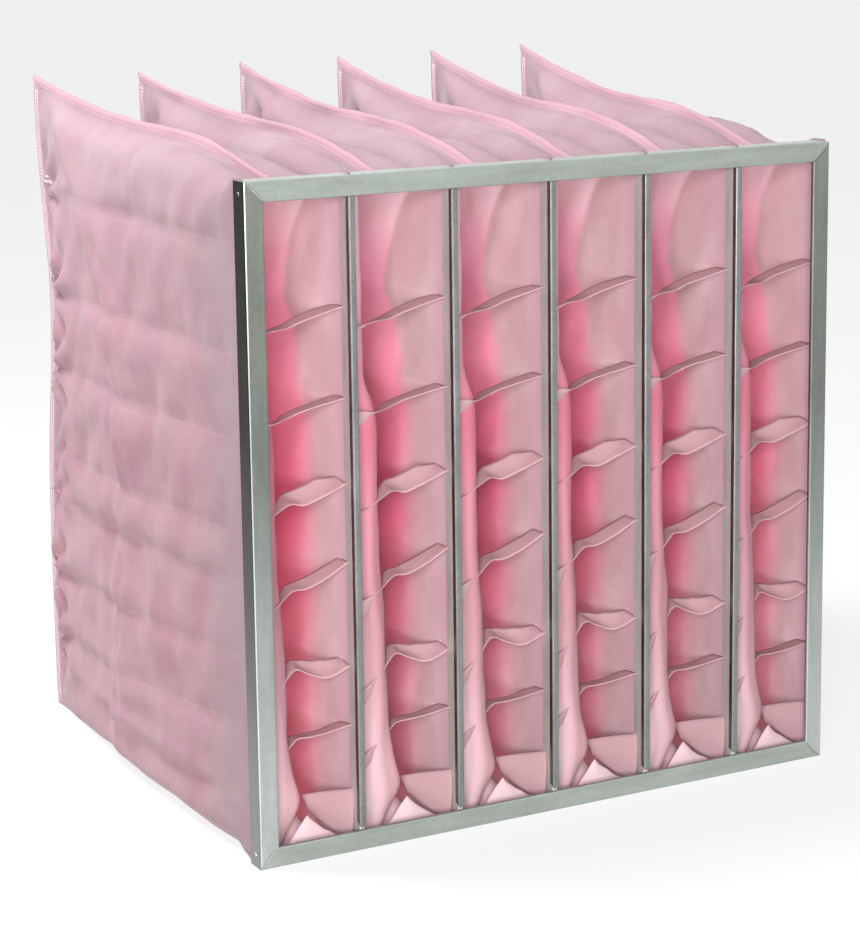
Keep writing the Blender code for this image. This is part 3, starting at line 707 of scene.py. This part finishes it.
# Folds at the mouths: slack cloth that bulges in behind the left wall of each frame, the hem of
# the right sheet at the lower corner, and the bottom edge, which stands up in the middle as a
# pale triangle between the two. All are the pockets' own nonwoven, gripped in the frames.
MM = 0.001
CUFF_EDGE = ((9, -22.5), (20, -16), (32, -9.4), (41, -2.8), (53, -4.7), (76, -11.2), (105, -13.7),
             (156, -14.8), (187, -15.2), (220, -17.5), (248, -20), (372, -20.5), (392, -24),
             (410, -29.5), (575, -31))
CUFF_TOP, CUFF_BOTTOM = 574, 8
CUFF_ROWS, CUFF_COLUMNS = 150, 26
CUFF_GRIP, CUFF_LIP, CUFF_END = -46.8, -44.5, -43.2
CUFF_WANDER, PLEAT_DEPTH = 0.9, 1.1
FLAP_TOP = ((13, 52, 41), (30, 37, 46), (47.2, 17, 51.5))
FLAP_EDGE = ((19, 50, 27), (23, 44, 21.5), (28.5, 36, 15.5), (36, 26, 10), (45, 16, 6.5))
FLAP_POINTS, FLAP_BULGE = 24, 2.5
GUSSET_PEAK, GUSSET_LEFT, GUSSET_RIGHT = 6.5, -23, 44
GUSSET_BOTTOM, GUSSET_TOP = 4, 31


def add_cloth(name, grid, material, replaces=None, thick=0.0012):
    """A sheet of cloth over a grid of points, with its thickness to both sides."""
    rows, columns = grid.shape[:2]
    faces = [(i * columns + j, (i + 1) * columns + j, (i + 1) * columns + j + 1, i * columns + j + 1)
             for i in range(rows - 1) for j in range(columns - 1)]
    mesh = bpy.data.meshes.new(name)
    mesh.from_pydata([tuple(point) for point in grid.reshape(-1, 3)], [], faces)
    mesh.shade_smooth()
    mesh.materials.append(material)
    cloth = bpy.data.objects.new(name, mesh)
    scene.collection.objects.link(cloth)
    solid = cloth.modifiers.new("thickness", "SOLIDIFY")
    solid.thickness = thick
    solid.offset = 0
    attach(cloth, "root")
    if replaces:
        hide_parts(replaces)
    across = np.broadcast_to(np.linspace(0, 1, columns)[None, :], (rows, columns))
    give(cloth, "across", across)


def placed(pocket, points):
    """Points given as (from the pocket's middle, behind the front, up) in millimetres, in the scene."""
    points = np.asarray(points, float) * MM
    middle = pocket_centre(pocket, 0.0)
    return np.stack([middle + points[..., 0], FRONT + points[..., 1], points[..., 2]], axis=-1)


def cuff_grid(pocket):
    """Slack behind the left frame wall: out of the frame, forward to a soft edge and back to the sheet."""
    heights = np.linspace(CUFF_TOP, CUFF_BOTTOM, CUFF_ROWS)
    edge = np.interp(heights, [height for height, x in CUFF_EDGE], [x for height, x in CUFF_EDGE])
    edge = np.convolve(np.pad(edge, 2, mode="edge"), np.ones(5) / 5, mode="valid")
    edge += 3.0 * smooth((420 - heights) / 40) + CUFF_WANDER * ripples(pocket * 2.3, heights / 24, 0.2)
    rows = []
    for height, x in zip(heights, edge):
        low = smooth((60 - height) / 40)
        rows.append(through([
            (CUFF_GRIP, 15, height),
            (CUFF_LIP, 19, height),
            (mix(CUFF_LIP, x, 0.72), 22, height),
            (x, 26.5, height),
            (x + 0.4, 31 + 3 * low, height + 2 * low),
            (x - 2.5, 42, height + 8 * low),
            (CUFF_END, 66, height + 14 * low),
        ], CUFF_COLUMNS))
    grid = np.array(rows)
    column = np.arange(CUFF_COLUMNS)[None, :]
    pleats = np.sin(column * 1.45 + 2.5 * ripples(pocket * 1.7, heights[:, None] / 70, 0.0))
    fade = smooth((360 - heights) / 90)[:, None]
    grid[:, :, 1] += PLEAT_DEPTH * pleats * fade * (column > 1) * (column < 14)
    return placed(pocket, grid)


def flap_grid(pocket):
    """The right sheet's hem at the lower corner, from its band down to its curved edge."""
    top, edge = through(FLAP_TOP, FLAP_POINTS), through(FLAP_EDGE, FLAP_POINTS)
    share = np.linspace(0, 1, 12)[:, None, None]
    grid = mix(top[None], edge[None], share)
    grid[..., 1] -= FLAP_BULGE * np.sin(math.pi * share[..., 0])
    return placed(pocket, grid)


def gusset_grid(pocket):
    """The pocket's bottom edge, which stands up as a triangle between the slack and the hem."""
    rows = []
    for share in np.linspace(0, 1, 16):
        u = np.linspace(-1, 1, 22)
        left = mix(GUSSET_PEAK, GUSSET_LEFT, (1 - share) ** 0.9)
        right = mix(GUSSET_PEAK, GUSSET_RIGHT, (1 - share) ** 1.35)
        x = mix(left, right, (u + 1) / 2)
        z = mix(GUSSET_BOTTOM, GUSSET_TOP, share) + 1.2 * ripples(pocket * 4.1, x / 9, share * 3)
        depth = mix(16, 25, share) - 3 * (1 - u**2) * (1 - share) * share * 3
        rows.append(np.stack([x, depth, z], axis=1))
    return placed(pocket, np.array(rows))


def fold_fabric(name, tones, shade):
    """The same nonwoven at the mouth: its tones by height, times a painted shade away from the frame."""
    made, tree, out = new_material(name)
    at = add_node(tree, "ShaderNodeTexCoord").outputs["Object"]
    across = add_node(tree, "ShaderNodeAttribute", {"attribute_name": "across"}).outputs["Fac"]
    height = add_node(tree, "ShaderNodeSeparateXYZ", Vector=at).outputs["Z"]
    fibre = add_node(tree, "ShaderNodeTexNoise", Vector=at, Scale=cells(3.5), Detail=4.0, Roughness=0.7)
    high = add_node(tree, "ShaderNodeMath", {"operation": "DIVIDE"}, i0=height, i1=GLOW_HEIGHT)
    tone = add_node(tree, "ShaderNodeValToRGB", {"stops": tones}, i0=high.outputs[0])
    # Painted shade across the cloth, away from the frame.
    turn = add_node(tree, "ShaderNodeMapRange", {"interpolation_type": "SMOOTHSTEP"}, Value=across,
                    From_Min=0.12, From_Max=0.6)
    colour = add_node(tree, "ShaderNodeMix", {"data_type": "RGBA", "blend_type": "MULTIPLY"},
                      Factor=turn.outputs[0], i6=tone.outputs[0], i7=srgb(shade))
    bump = add_node(tree, "ShaderNodeBump", Strength=0.3, Distance=0.0004, Height=fibre.outputs[0])
    cloth = add_node(tree, "ShaderNodeBsdfPrincipled", Base_Color=colour.outputs[2], Roughness=0.85,
                     Sheen_Weight=0.15, Sheen_Roughness=0.5, Normal=bump.outputs[0])
    through_light = add_node(tree, "ShaderNodeBsdfTranslucent", Color=colour.outputs[2])
    both = add_node(tree, "ShaderNodeMixShader", i0=0.25, i1=cloth.outputs[0], i2=through_light.outputs[0])
    tree.links.new(both.outputs[0], out.inputs[0])
    return made


# Painted light: the slack's tones by height are the glow of light through the cloth, pale at the top and
# bottom and deepest pink between, and its far side takes painted shade.
SLACK_TONES = ((0.0, "#DCC0C4"), (0.13, "#D9B7BD"), (0.25, "#C79DA5"), (0.36, "#C18F99"), (0.5, "#D08C9A"),
               (0.62, "#CF768A"), (0.70, "#DA93A3"), (1.0, "#E6C7CD"))
slack_nonwoven = fold_fabric("slack_nonwoven", SLACK_TONES, "#E8BCC6")
hem_nonwoven = fold_fabric("hemmed_nonwoven", ((0.0, "#BA959B"), (1.0, "#BA959B")), "#FFFFFF")
# Painted light: the bottom edge takes a paler tone than the walls for the front light that falls on it.
front_lit_nonwoven = fold_fabric("front_lit_bottom_nonwoven", ((0.0, "#E3C8CC"), (1.0, "#E3C8CC")), "#FFFFFF")
MOUTH_CLOTHS = (
    ("cuff", cuff_grid, slack_nonwoven, (0.566, 0.078), "gathered"),
    ("corner_hem", flap_grid, hem_nonwoven, (0.050, 0.034), "folded"),
    ("gusset", gusset_grid, front_lit_nonwoven, (0.036, 0.028), "folded"),
)
for pocket in range(POCKETS):
    for kind, shape, material, cut, held in MOUTH_CLOTHS:
        add_cloth(f"{kind}_{pocket + 1}", shape(pocket), material)


# Spacers: narrow strips of the same nonwoven, sewn across each pocket between its two sheets to
# stop it from ballooning. Each is twisted by its stitches: its left end hangs like an ear before
# the slack, and some turn their face to the front. Heights and twists are at the same seven places.
STRIP_PLACES = (-45, -31, -17, 2, 15, 30, 46.7)
STRIP_FRONT = (14, 18.5, 23, 34, 33, 26, 15.5)
STRIP_DEPTH = 20
STRIP_FLAT = (0.08, 0.12, 0.5, 1, 1, 1, 1)
STRIP_CUT, STRIP_THICK = (0.092, 0.021), 0.0008
STRIP_LONG, STRIP_WIDE = 34, 9
STRIP_RIPPLE, STRIP_SAG, TWISTED = 0.7, 1.5, 6
STRIPS = (
    ((78, 84, 90, 98, 99, 103, 110), (-14, -13, -7, -3, -3, -3, -2)),
    ((138, 143, 151, 161, 156, 152, 163), (-15, -14, -5, 2, 8, 12, 3)),
    ((219, 221, 225, 232, 232.5, 241, 256), (-17, -15, -4, 0, 3, 3, 0)),
    ((298, 300, 305, 308.5, 306.5, 314, 325), (-1, -1, 0, 5, 11, 12, 3)),
    ((388, 386, 383, 384.5, 389, 394, 400), (-14, -11, -3, -2, -2, -1, 0)),
    ((459, 461, 462, 461.5, 466, 472, 479), (-3, -3, 0, -1, 0, 1, 0)),
)


def strip_grid(pocket, heights, twists):
    """A ribbon across the pocket: its front edge follows the heights, its rear edge the twists."""
    front = through(list(zip(STRIP_PLACES, STRIP_FRONT, heights)), STRIP_LONG)
    twist = np.interp(front[:, 0], STRIP_PLACES, twists)
    share = np.linspace(0, 1, STRIP_WIDE)[None, :]
    flat = np.interp(front[:, 0], STRIP_PLACES, STRIP_FLAT)[:, None]
    x = np.broadcast_to(front[:, :1], (STRIP_LONG, STRIP_WIDE))
    depth = front[:, 1:2] + STRIP_DEPTH * share * flat
    z = front[:, 2:3] + twist[:, None] * share
    ripple = STRIP_RIPPLE * ripples(pocket * 1.9 + heights[0], x / 11, share * 2)
    z = z + ripple * np.sin(math.pi * (x + 44) / 88)
    z = z - STRIP_SAG * np.sin(math.pi * share) * (np.abs(twist)[:, None] > TWISTED)
    return placed(pocket, np.stack([x, depth, z], axis=2))


def strip_fabric():
    """The strips' nonwoven: thinner and paler than the walls, so light passes through it."""
    made, tree, out = new_material("pale_pink_nonwoven_strip")
    at = add_node(tree, "ShaderNodeTexCoord").outputs["Object"]
    fibre = add_node(tree, "ShaderNodeTexNoise", Vector=at, Scale=cells(3), Detail=3.0, Roughness=0.7)
    colour = add_node(tree, "ShaderNodeMix", {"data_type": "RGBA"},
                      Factor=fibre.outputs[0], i6=srgb("#C79FA6"), i7=srgb("#CFABB0"))
    bump = add_node(tree, "ShaderNodeBump", Strength=0.3, Distance=0.0003, Height=fibre.outputs[0])
    cloth = add_node(tree, "ShaderNodeBsdfPrincipled", Base_Color=colour.outputs[2], Roughness=0.85,
                     Normal=bump.outputs[0])
    through_light = add_node(tree, "ShaderNodeBsdfTranslucent", Color=colour.outputs[2])
    both = add_node(tree, "ShaderNodeMixShader", i0=0.3, i1=cloth.outputs[0], i2=through_light.outputs[0])
    tree.links.new(both.outputs[0], out.inputs[0])
    return made


strip_nonwoven = strip_fabric()
for pocket in range(POCKETS):
    for row, (heights, twists) in enumerate(STRIPS):
        place = f"{pocket + 1}_{row + 1}"
        add_cloth(f"strip_{place}", strip_grid(pocket, heights, twists), strip_nonwoven,
                  replaces=f"spacer_{place}",
                  thick=STRIP_THICK)


# Stitching: pale thread in short stitches. Two rows close the rear and the top hems, a row runs
# along each quilted valley apart from the lowest at the left, and two rows finish the hem at the
# right of each mouth.
STITCH_LONG, STITCH_THICK, STITCH_POINTS = 0.0012, 0.0005, 10
HEM_PITCH, ROW_PITCH = 0.0034, 0.0052
HEM_ROWS, FLAP_ROWS = (0.004, 0.008), (9, 13)
HEM_STEPS, ROW_STEPS = 160, 130
HEM_THREAD, FIN_THREAD, FLAP_THREAD = FABRIC + 0.0005, 0.0017, 0.0009


def stitches_along(line, through_half, pitch=HEM_PITCH):
    """Stitches with pointed ends, along a line of points on the cloth and through it to both sides."""
    steps = np.linalg.norm(np.diff(line, axis=0), axis=1)
    along = np.concatenate([[0], np.cumsum(steps)])
    count = max(int(along[-1] / pitch), 1)
    middles = (np.arange(count) + 0.5) * along[-1] / count
    at = np.stack([np.interp(middles, along, line[:, k]) for k in range(3)], axis=1)
    ahead = np.stack([np.interp(middles + 0.0005, along, line[:, k]) for k in range(3)], axis=1) - at
    ahead /= np.maximum(np.linalg.norm(ahead, axis=1), 1e-9)[:, None]
    side = np.zeros_like(ahead)
    side[:, 0] = 1
    other = np.cross(ahead, side)
    other /= np.maximum(np.linalg.norm(other, axis=1), 1e-9)[:, None]
    ring = [side * through_half, other * STITCH_THICK, -side * through_half, -other * STITCH_THICK]
    points = [at - ahead * STITCH_LONG]
    points += [at - ahead * STITCH_LONG * 0.6 + edge for edge in ring]
    points += [at + ahead * STITCH_LONG * 0.6 + edge for edge in ring]
    points += [at + ahead * STITCH_LONG]
    return np.stack(points, axis=1)


def wall_row(grid, depths, heights):
    """Points on a wall at these depths and heights."""
    line = []
    for depth, height in zip(depths, heights):
        i = int(np.clip(np.searchsorted(RING_DEPTHS, depth), 1, len(RING_DEPTHS) - 1))
        share = (depth - RING_DEPTHS[i - 1]) / (RING_DEPTHS[i] - RING_DEPTHS[i - 1])
        ring = mix(grid[i - 1], grid[i], share)[10 : WALL_POINTS - 4]
        line.append([np.interp(height, ring[:, 2], ring[:, k]) for k in range(2)] + [height])
    return np.array(line)


def thread_mesh(name, stitches, material):
    """All the stitches of a pocket as one mesh of closed pieces."""
    points = np.concatenate(stitches).reshape(-1, 3)
    faces = []
    for first in range(0, len(points), STITCH_POINTS):
        for k in range(4):
            a, b = first + 1 + k, first + 1 + (k + 1) % 4
            faces += [(first, b, a), (a, b, b + 4, a + 4), (first + 9, a + 4, b + 4)]
    add_mesh(name, points, faces, material)


pale_thread, tree, out = new_material("pale_polyester_thread")
thread = add_node(tree, "ShaderNodeBsdfPrincipled", Base_Color=srgb("#F3DCE4"), Roughness=0.55)
tree.links.new(thread.outputs[0], out.inputs[0])
for pocket, grids in enumerate(pocket_walls):
    stitches = []
    for behind in HEM_ROWS:
        depth = HEM_START + behind
        heights = np.linspace(0.012, seam_height(depth, pocket) - 0.004, HEM_STEPS)
        line = wall_row(grids[1], np.full(HEM_STEPS, depth), heights)
        line[:, 0] = pocket_centre(pocket, depth)
        stitches.append(stitches_along(line, HEM_THREAD))
    for column in (WALL_POINTS, WALL_POINTS + 1):
        line = (grids[1][6:-1, column] + grids[-1][6:-1, column]) / 2
        stitches.append(stitches_along(line, FIN_THREAD))
    for sign, starts in ((-1, QUILT_LEFT[1:]), (1, QUILT_RIGHT)):
        depths = np.linspace(0.03, HEM_START - 0.03, ROW_STEPS)
        for start in starts:
            line = wall_row(grids[sign], depths, row_height(start, depths))
            line[:, 0] -= sign * FABRIC / 2
            stitches.append(stitches_along(line, FABRIC / 2 + CLOTH_GAP, ROW_PITCH))
    hem = through(FLAP_TOP, FLAP_POINTS)
    for drop in FLAP_ROWS:
        line = placed(pocket, hem + np.array([1.5, -2.2, -drop]))
        stitches.append(stitches_along(line[3:], FLAP_THREAD))
    thread_mesh(f"thread_{pocket + 1}", stitches, pale_thread)
